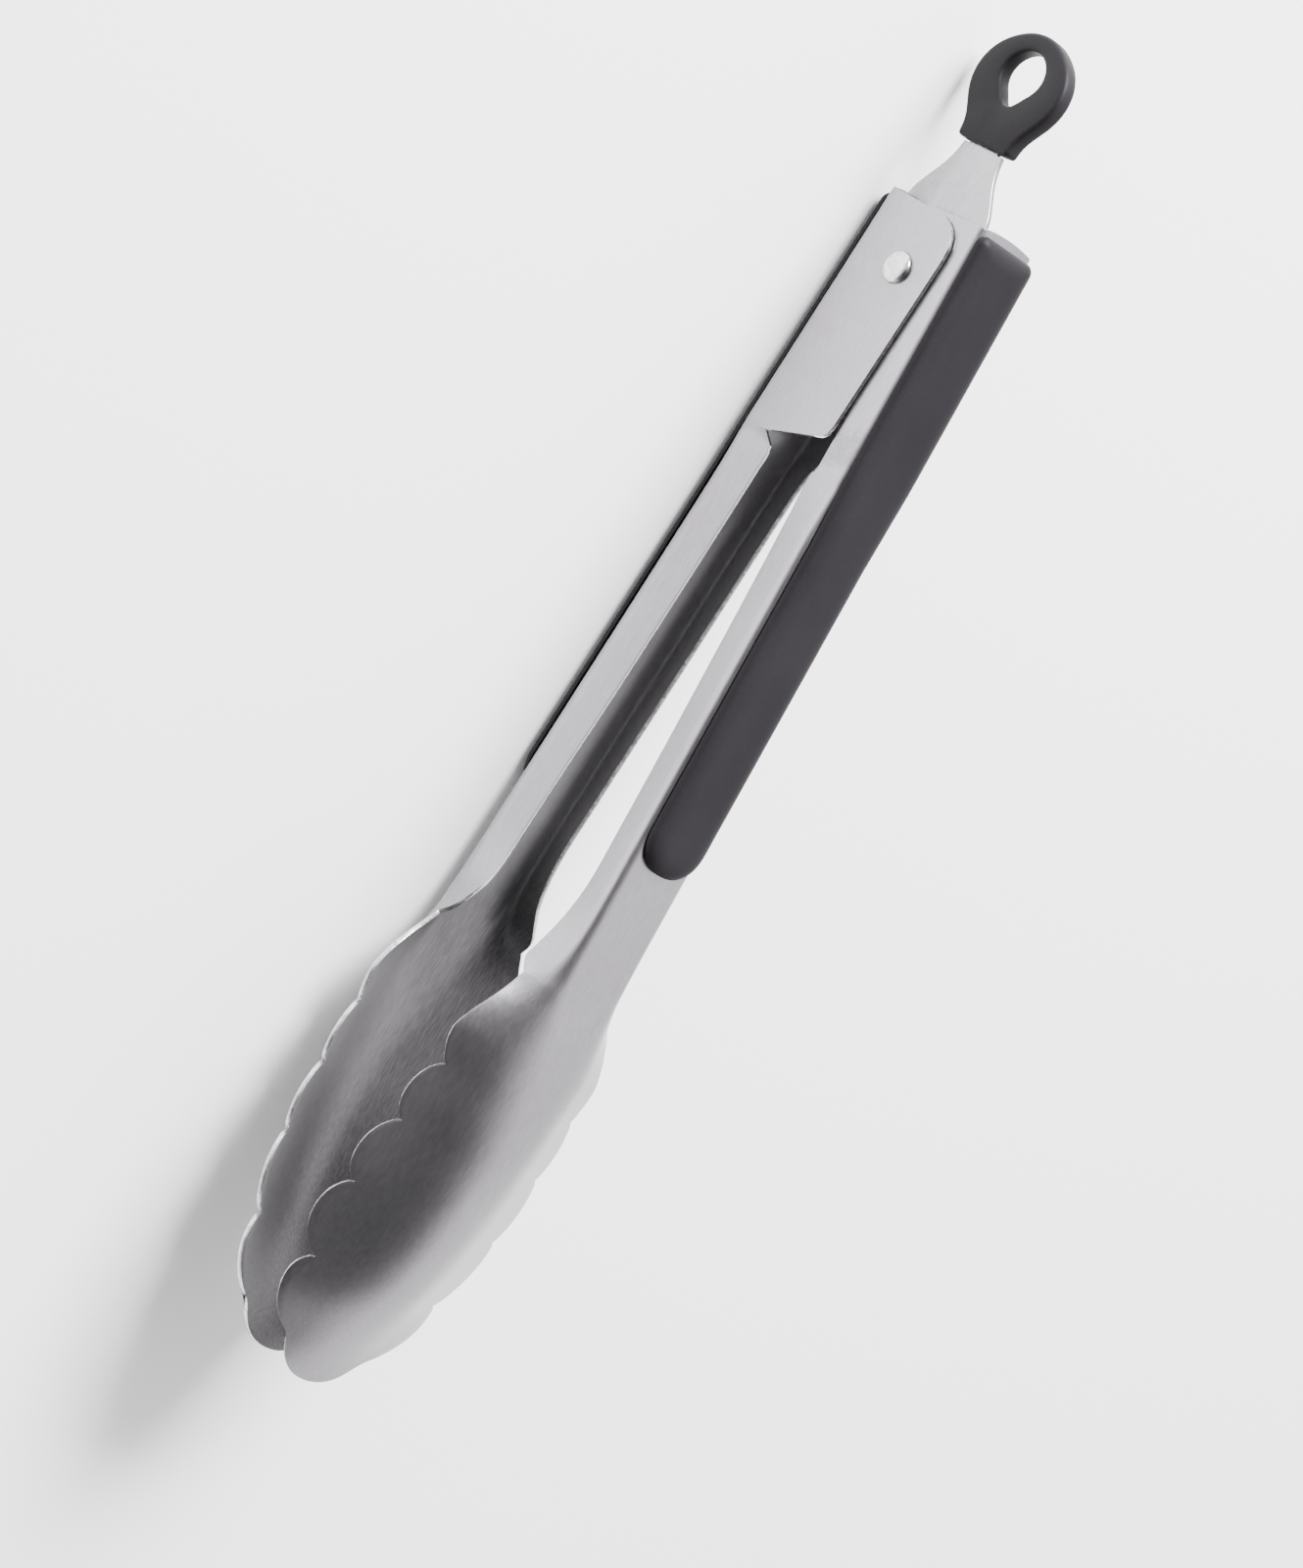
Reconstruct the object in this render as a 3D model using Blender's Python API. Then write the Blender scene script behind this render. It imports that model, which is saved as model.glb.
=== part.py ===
"""Spring loaded kitchen tongs with a pull-out locking loop.

The tongs lie on the back of their outer arm: +X runs towards the heads, +Z towards the inner arm
and the pin runs along Y, with its domed head at -Y.  They are shown locked, nearly closed.
Lengths below are in millimetres, and each arm is drawn in its own frame: x from the pin towards
the head, v along the pin, u from the outside of the arm's back into the tongs.
"""
import bpy
import bmesh
import math
from mathutils import Vector

for old in list(bpy.data.objects):
    bpy.data.objects.remove(old, do_unlink=True)

MM = 0.001

# Layout
SHEET = 0.9                  # steel sheet of both arms
PAD_T = 2.6                  # grip pad at its middle
PAD_GAP = 0.2                # glue line between pad and steel
OUTER_PAD, INNER_PAD = 9.4, 8.9          # half widths of the pads
HALF_BOX = 14.7              # pin to the outside of either arm's back
PIN_X = -101.23              # pin in the row's frame
PIN_Z = PAD_T + PAD_GAP + HALF_BOX
ARM_ANGLE = 4.79             # angle between the two backs when locked

# Width of the two channels: half width along each arm
OUTER_HALF, INNER_HALF = ((0.0, 10.0), (1.0, 10.0)), ((46.0, 8.8), (56.0, 9.6))
OUTER_END, INNER_END = -13.9, -14.6      # hinge ends of the two backs
CORNER_R = 2.2                           # bend between back and flange
NECK = 159.0                             # end of the flanges
TIP = 258.6                              # pin to the tip of the head

# Free edge of each flange, hinge end to neck: x, height, how far it leans in from the channel's side
OUTER_EDGE = ((-13.9, 17.6, 0.0), (-13.4, 19.6, 0.0), (-12.4, 21.4, 0.0), (-10.8, 22.9, 0.0),
              (-8.6, 23.9, 0.0), (-6.0, 24.2, 0.0), (34.6, 23.6, 0.0), (36.3, 23.2, 0.0),
              (37.4, 22.0, 0.0), (42.2, 7.5, 0.0), (44.6, 8.9, 2.3), (50.0, 8.8, 3.0),
              (100.0, 8.6, 3.2), (128.0, 8.2, 3.0), (140.0, 8.1, 2.9), (147.0, 8.4, 2.3),
              (152.0, 8.6, 1.0), (156.5, 8.6, -1.4), (159.2, 8.3, -3.0), (161.9, 6.2, -3.9))
INNER_EDGE = ((-14.6, 15.6, 0.0), (-14.1, 17.6, 0.0), (-12.6, 19.3, 0.0), (-10.4, 20.2, 0.0),
              (6.0, 20.2, 0.0), (9.0, 18.6, 0.0), (20.0, 8.6, 0.0), (22.0, 8.0, 0.0),
              (44.4, 8.0, 0.0), (45.2, 9.4, 0.5), (50.0, 10.2, 1.6), (56.0, 10.1, 2.3),
              (100.0, 9.2, 2.4), (128.0, 8.9, 2.4), (140.0, 8.9, 2.3), (147.0, 9.4, 1.6),
              (152.0, 9.6, 0.2), (156.5, 9.5, -1.8), (159.2, 9.2, -3.2), (161.9, 6.4, -4.2))

# Back of the arm and head: x, height, half width at the bend (None at the channel's side), bend length
BACK = ((44.0, 0.0, None, CORNER_R), (56.0, 0.0, None, 3.0), (152.0, 0.0, None, 3.0),
        (158.0, 0.0, None, 3.2), (162.5, 0.0, 9.6, 3.6), (168.0, -0.2, 9.2, 5.0),
        (176.0, -0.5, 8.4, 7.0), (186.0, -0.7, 7.4, 8.0), (200.0, -0.3, 6.4, 9.0),
        (216.0, 1.9, 5.8, 9.0), (233.0, 6.6, 5.2, 8.0), (248.0, 13.8, 4.6, 6.0), (TIP, 18.4, 4.0, 4.0))
# Bowl of the head out to a smooth line past the scallops: x, half width, height
BOWL = ((161.9, None, 6.3), (165.8, 16.2, 6.1), (169.0, 18.2, 6.2), (173.6, 20.9, 6.8),
        (178.2, 22.7, 7.45), (186.0, 23.4, 8.5), (193.5, 24.1, 9.4), (200.0, 24.9, 10.6),
        (208.0, 25.6, 11.9), (216.0, 26.0, 13.5), (223.0, 25.6, 14.9), (233.4, 23.9, 16.8),
        (241.0, 21.4, 17.3), (250.3, 17.5, 18.9), (TIP, 13.0, 19.0))
# Scalloped outline: end of the first lobe, the notches (x, half width), and how far each lobe bulges
FIRST_LOBE = ((178.2, 22.7), (180.8, 22.5), (183.6, 21.6), (185.0, 20.9), (185.9, 20.2))
NOTCHES = ((185.9, 20.2), (200.1, 21.3), (215.8, 22.0), (233.4, 18.5), (250.3, 11.8))
BULGES = (3.2, 3.8, 4.7, 5.3)

# Pin, sleeve, spring
SHANK_R, HOLE_R = 2.40, 2.46
SLEEVE_R, SLEEVE_HALF = 3.6, 7.6
COIL_R, WIRE_R, COIL_TURNS = 6.6, 0.85, 5
COIL_LOW, COIL_HIGH = -4.3, 6.9

# Lock tab and hanging loop
TAB_V, TAB_T = -5.9, 1.0
TAB_WIDE, TAB_NECK = 12.2, 6.0
TAB_MOUTH, TAB_COLLAR = -15.3, -29.6
LOOP_T, LOOP_END = 4.0, -56.2


def material(name, colour, metallic, roughness):
    mat = bpy.data.materials.new(name)
    mat.use_nodes = True
    bsdf = mat.node_tree.nodes["Principled BSDF"]
    bsdf.inputs["Base Color"].default_value = (*colour, 1.0)
    bsdf.inputs["Metallic"].default_value = metallic
    bsdf.inputs["Roughness"].default_value = roughness
    return mat


def add_object(name, verts, faces, mat):
    mesh = bpy.data.meshes.new(name)
    mesh.from_pydata([Vector(v) * MM for v in verts], [], faces)
    bm = bmesh.new()
    bm.from_mesh(mesh)
    bmesh.ops.recalc_face_normals(bm, faces=bm.faces)
    bm.to_mesh(mesh)
    bm.free()
    obj = bpy.data.objects.new(name, mesh)
    bpy.context.scene.collection.objects.link(obj)
    mesh.materials.append(mat)
    return obj


def between(table, x):
    """Straight-line value of a table of (x, value) rows."""
    if x <= table[0][0]:
        return table[0][1]
    for (xa, a), (xb, b) in zip(table, table[1:]):
        if x <= xb:
            return a + (b - a) * (x - xa) / (xb - xa)
    return table[-1][1]


def smooth(table, x):
    """Value of a table of (x, value) rows along a smooth curve through them."""
    rows = list(table)
    if x <= rows[0][0]:
        return rows[0][1]
    if x >= rows[-1][0]:
        return rows[-1][1]
    k = max(i for i in range(len(rows) - 1) if rows[i][0] <= x)
    slope = []
    for i in (k, k + 1):
        lo, hi = max(i - 1, 0), min(i + 1, len(rows) - 1)
        slope.append((rows[hi][1] - rows[lo][1]) / (rows[hi][0] - rows[lo][0]))
    h = rows[k + 1][0] - rows[k][0]
    t = (x - rows[k][0]) / h
    return ((2 * t ** 3 - 3 * t ** 2 + 1) * rows[k][1] + (t ** 3 - 2 * t ** 2 + t) * h * slope[0]
            + (3 * t ** 2 - 2 * t ** 3) * rows[k + 1][1] + (t ** 3 - t ** 2) * h * slope[1])


def outline(x):
    """Head's scalloped rim past the widest part of its first lobe: straight line between notches, and bulge."""
    if x <= NOTCHES[0][0]:
        return smooth(FIRST_LOBE, x), 0.0
    for (xa, a), (xb, b), bulge in zip(NOTCHES, NOTCHES[1:], BULGES):
        if x <= xb:
            t = (x - xa) / (xb - xa)
            return a + (b - a) * t, bulge * (1.0 - (2.0 * t - 1.0) ** 2) ** 0.66
    return NOTCHES[-1][1], 0.0


def rim_lag(x0):
    """How far the rim of a head section lies behind its middle: the last section is the tip lobe."""
    return (TIP - NOTCHES[-1][0]) * max(0.0, (x0 - 200.0) / (TIP - 200.0)) ** 2


def station_for_rim(xe):
    """Station whose rim reaches xe."""
    x0 = xe
    for _ in range(40):
        x0 = xe + rim_lag(x0)
    return x0


def bend_points(x, half, edge):
    """Middle of the back, start, corner and end of the bend, and the rim of the section at x."""
    width = between(half, x)
    back = smooth([(r[0], r[1]) for r in BACK], x)
    corner_v = smooth([(r[0], r[2] or width) for r in BACK], x)
    length = smooth([(r[0], r[3]) for r in BACK], x)
    if x <= edge[-1][0]:
        lean = between([(r[0], r[2]) for r in edge], x)
        rim = Vector((width - lean, between([(r[0], r[1]) for r in edge], x)))
    else:
        neck = width - edge[-1][2]
        rim = Vector((smooth([(r[0], r[1] or neck) for r in BOWL], x), smooth([(r[0], r[2]) for r in BOWL], x)))
    mid, corner = Vector((0.0, back)), Vector((corner_v, back))
    start = corner + (mid - corner).normalized() * min(length, 0.96 * (mid - corner).length)
    stop = corner + (rim - corner).normalized() * min(length, 0.9 * (rim - corner).length)
    return mid, start, corner, stop, rim


def bowl_height(x, v, half, edge):
    """Height of the bowl's outside at half width v."""
    mid, start, corner, stop, rim = bend_points(x, half, edge)
    if v <= start.x:
        return mid.y
    if v >= stop.x:
        return stop.y + (rim.y - stop.y) * (v - stop.x) / (rim.x - stop.x)
    a = start.x - 2.0 * corner.x + stop.x
    b = 2.0 * (corner.x - start.x)
    c = start.x - v
    t = -c / b if abs(a) < 1e-9 else (-b + math.sqrt(b * b - 4.0 * a * c)) / (2.0 * a)
    return start.y * (1 - t) ** 2 + corner.y * 2 * t * (1 - t) + stop.y * t ** 2


def bowl_normal(p, half, edge):
    """Direction from the bowl's outside towards its inside."""
    step = 0.2
    x1 = min(p.x + step, TIP)
    x0, v = x1 - 2.0 * step, abs(p.y)
    along = (bowl_height(x1, v, half, edge) - bowl_height(x0, v, half, edge)) / (2.0 * step)
    across = (bowl_height(p.x, v + step, half, edge) - bowl_height(p.x, max(0.0, v - step), half, edge))
    across /= v + step - max(0.0, v - step)
    if v < 1e-6:
        across = 0.0
    return Vector((-along, -across if p.y >= 0.0 else across, 1.0)).normalized()


def section(x0, half, edge, end, counts):
    """Outside of an arm across one station, edge to edge, as (x, v, u) points."""
    web_n, bend_n, side_n = counts
    mid, start, corner, stop, rim = bend_points(x0, half, edge)
    pts = [mid.lerp(start, i / web_n) for i in range(web_n)]
    for i in range(bend_n + 1):
        t = i / bend_n
        pts.append(start * (1 - t) ** 2 + corner * 2 * t * (1 - t) + stop * t ** 2)
    pts += [stop.lerp(rim, i / side_n) for i in range(1, side_n + 1)]
    out = []
    if x0 <= FIRST_LOBE[0][0]:
        for p in pts:
            arch = 0.8 * max(0.0, 1.0 - (p.x / corner.x) ** 2) * max(0.0, 1.0 - (x0 - end) / 6.0)
            out.append(Vector((x0 - arch, p.x, p.y)))
    else:
        lag = rim_lag(x0)
        chord, bulge = outline(x0 - lag)
        tip = lag / rim_lag(TIP)
        for p in pts:
            a = p.x / rim.x
            x = x0 - lag * (0.55 * a ** 2 + 0.45 * a ** 4)
            v = chord * a + bulge * a ** (6.0 + 10.0 * tip)
            out.append(Vector((x, v, bowl_height(x, v, half, edge))))
    return [Vector((p.x, -p.y, p.z)) for p in reversed(out[1:])] + out


def sheet_solid(grid, thickness, half, edge):
    """Closed sheet: the grid is its outside and the inside lies one thickness in."""
    rows, cols = len(grid), len(grid[0])
    pts = grid
    inner = []
    for i in range(rows):
        line = []
        for j in range(cols):
            along = pts[min(i + 1, rows - 1)][j] - pts[max(i - 1, 0)][j]
            if 0 < i < rows - 1:
                fore = (pts[i + 1][j] - pts[i][j]).normalized()
                aft = (pts[i][j] - pts[i - 1][j]).normalized()
                along = fore + aft
            if j in (0, cols - 1):
                near = 1 if j == 0 else cols - 2
                across = (pts[i][near] - pts[i][j]) * (1 if j == 0 else -1)
            else:
                across = (pts[i][j + 1] - pts[i][j]).normalized() + (pts[i][j] - pts[i][j - 1]).normalized()
            if pts[i][j].x < NECK:
                along = Vector((1.0, 0.0, 0.0))
            normal = along.cross(across).normalized()
            if pts[i][cols // 2].x > FIRST_LOBE[0][0]:
                normal = bowl_normal(pts[i][j], half, edge)
            line.append(pts[i][j] + normal * thickness)
        inner.append(line)
    verts = [p for row in pts for p in row] + [p for row in inner for p in row]
    base = rows * cols

    def out(i, j):
        return i * cols + j

    def back(i, j):
        return base + i * cols + j

    faces = []
    for i in range(rows - 1):
        for j in range(cols - 1):
            faces.append((out(i, j), out(i + 1, j), out(i + 1, j + 1), out(i, j + 1)))
            faces.append((back(i, j), back(i, j + 1), back(i + 1, j + 1), back(i + 1, j)))
    for i in range(rows - 1):
        for j in (0, cols - 1):
            faces.append((out(i, j), back(i, j), back(i + 1, j), out(i + 1, j)))
    for j in range(cols - 1):
        for i in (0, rows - 1):
            faces.append((out(i, j), out(i, j + 1), back(i, j + 1), back(i, j)))
    return verts, faces


def cylinder(name, radius, v0, v1, segments=48):
    """Plain cylinder round the pin."""
    verts, faces = [], []
    for v in (v0, v1):
        verts += [(radius * math.cos(2 * math.pi * k / segments), v, radius * math.sin(2 * math.pi * k / segments))
                  for k in range(segments)]
    for k in range(segments):
        n = (k + 1) % segments
        faces.append((k, n, segments + n, segments + k))
    faces += [tuple(range(segments)), tuple(range(segments, 2 * segments))]
    return add_object(name, verts, faces, STEEL)


def lathe(name, profile, closed, mat, segments=48):
    """Solid of revolution round the pin: a closed (radius, v) outline, or one that ends on the axis."""
    verts, faces, rings = [], [], []
    for r, v in profile:
        if r == 0.0:
            rings.append([len(verts)] * segments)
            verts.append((0.0, v, 0.0))
            continue
        rings.append(list(range(len(verts), len(verts) + segments)))
        for k in range(segments):
            a = 2 * math.pi * k / segments
            verts.append((r * math.cos(a), v, r * math.sin(a)))
    pairs = list(zip(rings, rings[1:] + rings[:1])) if closed else list(zip(rings, rings[1:]))
    for low, high in pairs:
        for k in range(segments):
            m = (k + 1) % segments
            corners = (low[k], low[m], high[m], high[k])
            faces.append(tuple(dict.fromkeys(corners)))
    return add_object(name, verts, faces, mat)


def cut(obj, cutter):
    """Take the cutter out of the object and remove it."""
    mod = obj.modifiers.new("Cut", "BOOLEAN")
    mod.operation, mod.solver, mod.object = "DIFFERENCE", "EXACT", cutter
    graph = bpy.context.evaluated_depsgraph_get()
    mesh = bpy.data.meshes.new_from_object(obj.evaluated_get(graph))
    obj.modifiers.clear()
    obj.data = mesh
    bpy.data.objects.remove(cutter, do_unlink=True)


def place(obj, angle, flip):
    """Move an arm-frame mesh onto the pin: flip it for the inner arm, then turn it open by the angle."""
    a = math.radians(angle)
    c, s = math.cos(a), math.sin(a)
    for vert in obj.data.vertices:
        x, v, u = vert.co / MM
        z = HALF_BOX - u if flip else u - HALF_BOX
        vert.co = Vector((x * c - z * s, v, x * s + z * c)) * MM
    if flip:
        obj.data.flip_normals()
    obj.location = Vector((PIN_X, 0.0, PIN_Z)) * MM


def prism(name, outline, v0, v1, mat, edge_round=0.0):
    """Plate with an (x, z) outline round the pin's frame, its faces at v0 and v1."""
    rings = [(0.0, v0), (0.0, v1)]
    if edge_round:
        k = edge_round
        rings = [(k, v0), (0.3 * k, v0 + 0.3 * k), (0.0, v0 + k), (0.0, v1 - k), (0.3 * k, v1 - 0.3 * k), (k, v1)]
    verts, faces = [], []
    n = len(outline)
    normals = []
    for i in range(n):
        a, b = Vector(outline[i - 1]), Vector(outline[(i + 1) % n])
        d = (b - a).normalized()
        normals.append(Vector((-d.y, d.x)))
    for inset, v in rings:
        for p, nor in zip(outline, normals):
            verts.append((p[0] + nor.x * inset, v, p[1] + nor.y * inset))
    for r in range(len(rings) - 1):
        for i in range(n):
            j = (i + 1) % n
            faces.append((r * n + i, r * n + j, (r + 1) * n + j, (r + 1) * n + i))
    faces += [tuple(range(n)), tuple(range((len(rings) - 1) * n, len(rings) * n))]
    return add_object(name, verts, faces, mat)


def rounded_pad(name, x0, x1, half, end_len, mat):
    """Grip pad under an arm's back: flat along its middle, rounded at its edges and at the head end."""
    profile = ((0.0, 1.0), (0.55, 1.0), (0.78, 0.93), (0.93, 0.74), (1.0, 0.36))
    nose = ((0.0, 1.0, 1.0), (0.35, 0.94, 0.985), (0.62, 0.79, 0.9), (0.82, 0.57, 0.87), (0.95, 0.31, 0.42),
            (1.0, 0.14, 0.38))
    stations = [(x0, 0.955, 0.36), (x0 + 0.25, 0.98, 0.74), (x0 + 0.9, 1.0, 0.94), (x0 + 1.9, 1.0, 1.0)]
    stations += [(x1 - end_len + end_len * t, w, h) for t, w, h in nose]
    verts, faces, rings = [], [], []
    for x, w, h in stations:
        top = [(x, half * w * a, -PAD_GAP - PAD_T * min(b, h)) for a, b in profile]
        ring = [(px, -v, u) for px, v, u in reversed(top[1:])] + top
        ring += [(x, half * w * a, -PAD_GAP) for a, _ in reversed(profile)]
        ring += [(x, -half * w * a, -PAD_GAP) for a, _ in profile[1:]]
        rings.append(len(verts))
        verts += ring
    n = len(ring)
    for a, b in zip(rings, rings[1:]):
        for i in range(n):
            j = (i + 1) % n
            faces.append((a + i, a + j, b + j, b + i))
    faces += [tuple(range(rings[0], rings[0] + n)), tuple(range(rings[-1], rings[-1] + n))]
    return add_object(name, verts, faces, mat)


STEEL = material("arm_steel", (0.62, 0.61, 0.62), 1.0, 0.32)
STEEL_B = material("inner_arm_steel", (0.62, 0.61, 0.62), 1.0, 0.33)
TAB_STEEL = material("tab_steel", (0.60, 0.59, 0.60), 1.0, 0.3)
RIVET_STEEL = material("rivet_steel", (0.70, 0.70, 0.71), 1.0, 0.15)
SLEEVE_STEEL = material("sleeve_steel", (0.60, 0.60, 0.61), 1.0, 0.35)
SPRING_STEEL = material("spring_steel", (0.48, 0.48, 0.49), 1.0, 0.3)
GRIP_A = material("outer_grip_rubber", (0.062, 0.058, 0.066), 0.0, 0.62)
GRIP_B = material("inner_grip_rubber", (0.060, 0.057, 0.064), 0.0, 0.62)
LOOP_RUBBER = material("loop_rubber", (0.055, 0.052, 0.058), 0.0, 0.58)

# Arms: sections at every corner of the flange edge, then closely spaced round the scallops
scallops = [163.6, 165.8, 167.4, 169.0, 171.3, 173.6, 176.0, 178.2, 180.0, 181.8, 183.6, 185.0]
for (xa, _), (xb, _) in zip(NOTCHES, NOTCHES[1:]):
    scallops += [station_for_rim(xa + (xb - xa) * t) for t in (0.0, 0.04, 0.14, 0.3, 0.5, 0.7, 0.86, 0.96)]
scallops += [TIP]


def build_arm(name, half, edge, end, mat, angle, flip):
    stations = sorted([row[0] for row in edge] + scallops)
    grid = [section(x0, half, edge, end, (3, 5, 4)) for x0 in stations]
    verts, faces = sheet_solid(grid, SHEET, half, edge)
    arm = add_object(name, verts, faces, mat)
    hole = cylinder("pin_hole", HOLE_R, -12.0, 12.0)
    for vert in hole.data.vertices:
        vert.co.z += HALF_BOX * MM
    cut(arm, hole)
    place(arm, angle, flip)
    return arm


outer_arm = build_arm("outer_arm", OUTER_HALF, OUTER_EDGE, OUTER_END, STEEL, 0.0, False)
inner_arm = build_arm("inner_arm", INNER_HALF, INNER_EDGE, INNER_END, STEEL_B, ARM_ANGLE, True)

outer_grip = rounded_pad("outer_grip", OUTER_END + 1.1, 132.0, OUTER_PAD, 9.0, GRIP_A)
place(outer_grip, 0.0, False)
inner_grip = rounded_pad("inner_grip", INNER_END + 1.1, 132.0, INNER_PAD, 8.5, GRIP_B)
place(inner_grip, ARM_ANGLE, True)

# Semi-tubular rivet: domed head at -Y, shank, rolled hollow end at +Y
FACE = OUTER_HALF[0][1] + 0.08
pivot_rivet = lathe("pivot_rivet", [
    (0.0, -FACE - 1.6), (1.3, -FACE - 1.52), (2.4, -FACE - 1.25), (3.15, -FACE - 0.85), (3.52, -FACE - 0.35),
    (3.55, -FACE), (SHANK_R, -FACE), (SHANK_R, FACE), (3.2, FACE), (3.4, FACE + 0.35), (3.1, FACE + 0.8),
    (2.6, FACE + 0.95), (2.1, FACE + 0.7), (1.75, FACE + 0.2), (1.75, 6.6), (0.0, 6.0)], False, RIVET_STEEL)
rivet_sleeve = lathe("rivet_sleeve", [
    (HOLE_R, -SLEEVE_HALF), (SLEEVE_R, -SLEEVE_HALF), (SLEEVE_R, SLEEVE_HALF), (HOLE_R, SLEEVE_HALF)],
    True, SLEEVE_STEEL)


def leg_points(side, angle):
    """Spring leg in the pin's frame: where it leaves the coil, where it meets the back, and its end."""
    rest = HALF_BOX - SHEET - WIRE_R - 0.2
    near, far = Vector((23.0, side * rest)), Vector((31.0, side * rest))
    a = math.radians(angle)
    turn = lambda p: Vector((p.x * math.cos(a) - p.y * math.sin(a), p.x * math.sin(a) + p.y * math.cos(a)))
    near, far = turn(near), turn(far)
    phi = math.atan2(near.y, near.x) + side * math.acos(COIL_R / near.length)
    return phi, near, far


def tube(name, path, radius, sides, mat):
    """Round wire along a path, with square cut ends."""
    verts, faces = [], []
    up = Vector((0.0, 1.0, 0.0))
    for i, p in enumerate(path):
        d = (path[min(i + 1, len(path) - 1)] - path[max(i - 1, 0)]).normalized()
        side = d.cross(up).normalized()
        lift = side.cross(d).normalized()
        verts += [p + (side * math.cos(2 * math.pi * k / sides) + lift * math.sin(2 * math.pi * k / sides)) * radius
                  for k in range(sides)]
    for i in range(len(path) - 1):
        for k in range(sides):
            m = (k + 1) % sides
            faces.append((i * sides + k, i * sides + m, (i + 1) * sides + m, (i + 1) * sides + k))
    faces += [tuple(range(sides)), tuple(range((len(path) - 1) * sides, len(path) * sides))]
    return add_object(name, verts, faces, mat)


# Torsion spring: inner arm's leg, coil round the sleeve, outer arm's leg
phi_in, near_in, far_in = leg_points(1, ARM_ANGLE)
phi_out, near_out, far_out = leg_points(-1, 0.0)
sweep = (phi_out % (2 * math.pi)) - phi_in + 2 * math.pi * COIL_TURNS
steps = 18 * COIL_TURNS + 8
path = [Vector((far_in.x, COIL_LOW, far_in.y)), Vector((near_in.x, COIL_LOW, near_in.y))]
for i in range(steps + 1):
    t = i / steps
    phi = phi_in + sweep * t
    path.append(Vector((COIL_R * math.cos(phi), COIL_LOW + (COIL_HIGH - COIL_LOW) * t, COIL_R * math.sin(phi))))
path += [Vector((near_out.x, COIL_HIGH, near_out.y)), Vector((far_out.x, COIL_HIGH, far_out.y))]
torsion_spring = tube("torsion_spring", path, WIRE_R, 8, SPRING_STEEL)


def mirror(half_outline):
    """Close a (x, z) half outline with its mirror image in z."""
    return half_outline + [(x, -z) for x, z in reversed(half_outline) if abs(z) > 1e-6]


def arc(cx, cz, r, a0, a1, n):
    return [(cx + r * math.cos(math.radians(a0 + (a1 - a0) * i / n)), cz + r * math.sin(math.radians(a0 + (a1 - a0) * i / n)))
            for i in range(n + 1)]


# Lock tab: tongue, collar neck, flanks that spread to the wedge, and the slotted tail round the sleeve
flank = [(TAB_COLLAR + 0.0, TAB_NECK), (-27.6, 6.35), (-25.4, 7.05), (-23.2, 8.1), (-21.2, 9.3), (-19.2, 10.55),
         (-17.2, 11.6), (TAB_MOUTH, TAB_WIDE)]
tab_half = [(-38.0, 0.0), (-38.0, 3.6), (-37.2, 4.5), (TAB_COLLAR - 0.2, 4.5), (TAB_COLLAR - 0.2, TAB_NECK)]
tab_half += flank[1:] + [(-13.2, TAB_WIDE), (-12.0, 11.6), (-7.0, 7.4), (8.0, 7.0), (9.8, 5.2), (9.8, 0.0)]
lock_tab = prism("lock_tab", mirror(tab_half), TAB_V - TAB_T / 2, TAB_V + TAB_T / 2, TAB_STEEL)
SLOT_R = SLEEVE_R + 0.3
slot = prism("slot", arc(2.2, 0.0, SLOT_R, -90, 90, 12) + arc(-10.4, 0.0, SLOT_R, 90, 270, 12), -8.0, -4.0, TAB_STEEL)
cut(lock_tab, slot)

# Hanging loop: collar over the tab's tongue, ring with a teardrop hole
ring_half = [(TAB_COLLAR - 0.5, 0.0), (TAB_COLLAR - 0.5, 7.1), (TAB_COLLAR - 1.2, 7.8), (-32.4, 7.9), (-34.6, 8.6),
             (-36.8, 10.0), (-39.4, 11.7), (-42.2, 12.8), (-45.2, 13.1), (-48.4, 12.4), (-51.4, 10.5),
             (-53.8, 7.6), (-55.6, 3.9), (LOOP_END, 0.0)]
hang_loop = prism("hang_loop", mirror(ring_half), TAB_V - LOOP_T / 2, TAB_V + LOOP_T / 2, LOOP_RUBBER, 1.1)
hole_half = [(-39.6, 0.0), (-39.7, 1.1), (-40.6, 2.2), (-42.4, 3.6), (-44.2, 5.1), (-46.4, 5.8), (-48.6, 5.4),
             (-50.5, 4.1), (-51.8, 2.1), (-52.2, 0.0)]
cut(hang_loop, prism("hole", mirror(hole_half), -12.0, 0.0, LOOP_RUBBER))
pocket = [(-38.3, 0.0), (-38.3, 3.7), (-37.4, 4.75), (-29.0, 4.75), (-29.0, 0.0)]
cut(hang_loop, prism("pocket", mirror(pocket), TAB_V - TAB_T / 2 - 0.2, TAB_V + TAB_T / 2 + 0.2, LOOP_RUBBER))

for obj, angle in ((pivot_rivet, 0.0), (rivet_sleeve, 0.0), (torsion_spring, 0.0), (lock_tab, ARM_ANGLE / 2),
                   (hang_loop, ARM_ANGLE / 2)):
    a = math.radians(angle)
    for vert in obj.data.vertices:
        x, z = vert.co.x, vert.co.z
        vert.co.x, vert.co.z = x * math.cos(a) - z * math.sin(a), x * math.sin(a) + z * math.cos(a)
    obj.location = Vector((PIN_X, 0.0, PIN_Z)) * MM
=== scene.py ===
import bpy
import bmesh
import math
from mathutils import Matrix, Vector


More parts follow.
